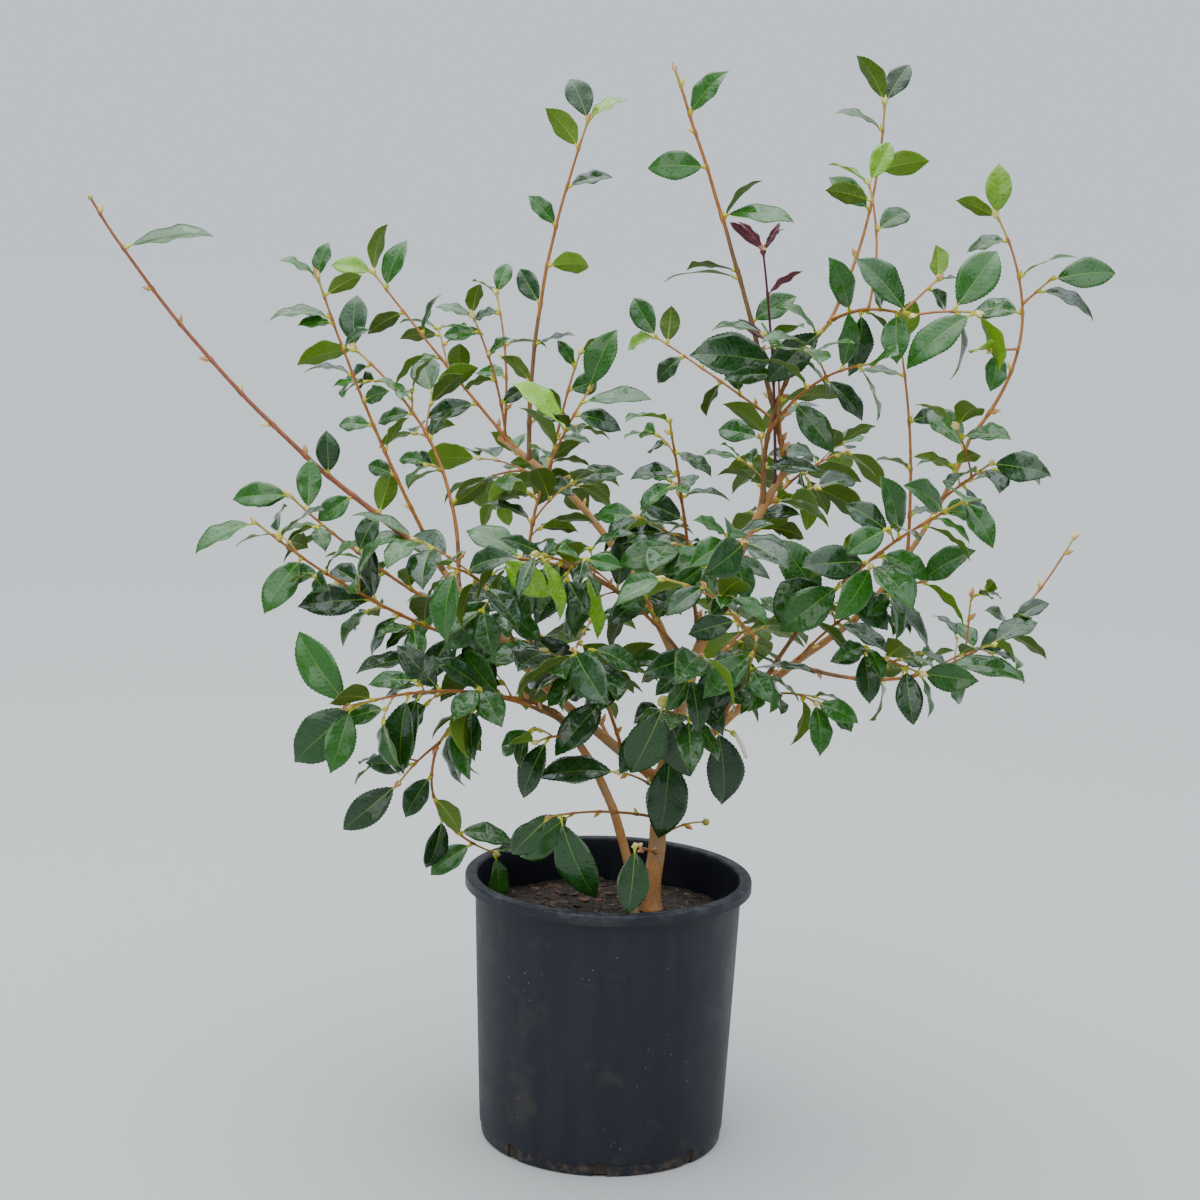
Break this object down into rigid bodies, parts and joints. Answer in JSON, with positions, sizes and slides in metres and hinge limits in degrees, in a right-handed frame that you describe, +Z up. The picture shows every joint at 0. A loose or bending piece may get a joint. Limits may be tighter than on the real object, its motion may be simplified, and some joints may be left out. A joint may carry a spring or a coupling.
{
  "type": "potted camellia shrub",
  "caption": "Young evergreen camellia with glossy dark leaves on open, upright shoots, growing in a round black plastic nursery pot filled with compost.",
  "frame": {"origin": "middle of the pot's flat underside", "axes": "+Z up along the pot's axis, -Y towards a viewer who faces the shrub's front, +X to that viewer's right"},
  "size_m": [1.1467, 0.7418, 1.2433],
  "materials": {
    "pot": "black moulded plastic, dusty and slightly worn",
    "compost": "dark moist compost with bark chips",
    "bark": "smooth tan-brown bark",
    "foliage": "glossy dark green leaves on brown twigs",
    "red_foliage": "young burgundy leaves"
  },
  "bodies": {
    "root": {"pot": "pot", "compost": "compost", "trunk": "bark", "second_stem": "bark", "leader": "bark", "left_bough": "bark", "right_bough": "bark", "right_arm": "bark", "back_bough": "bark", "left_whip": "foliage", "left_spray": "foliage", "left_back_spray": "foliage", "left_low_spray": "foliage", "left_front_spray": "foliage", "hanging_spray": "foliage", "outer_left_spray": "foliage", "centre_left_spray": "foliage", "centre_spray": "foliage", "centre_front_spray": "foliage", "leader_side_spray": "foliage", "leader_top_spur": "foliage", "leader_whip": "foliage", "red_shoot": "red_foliage", "top_right_spray": "foliage", "right_whip": "foliage", "right_front_spray": "foliage", "right_upright": "foliage", "right_arm_spray": "foliage", "right_low_spray": "foliage", "right_low_front": "foliage", "right_inner_twig": "foliage", "right_mid_spray": "foliage", "low_left_twig": "foliage", "low_centre_twig": "foliage", "low_front_twig": "foliage", "low_right_twig": "foliage", "low_mid_spray": "foliage", "front_twig": "foliage", "front_right_spray": "foliage", "front_mid_spray": "foliage", "front_low_spray": "foliage", "front_left_spray": "foliage", "front_high_spray": "foliage", "back_leader": "foliage", "back_left_spray": "foliage", "back_twig_a": "foliage", "back_twig_b": "foliage", "back_centre_spray": "foliage", "back_mid_spray": "foliage", "back_right_spray": "foliage", "back_far_left": "foliage", "back_low_spray": "foliage", "back_low_left": "foliage"}
  },
  "joints": []
}
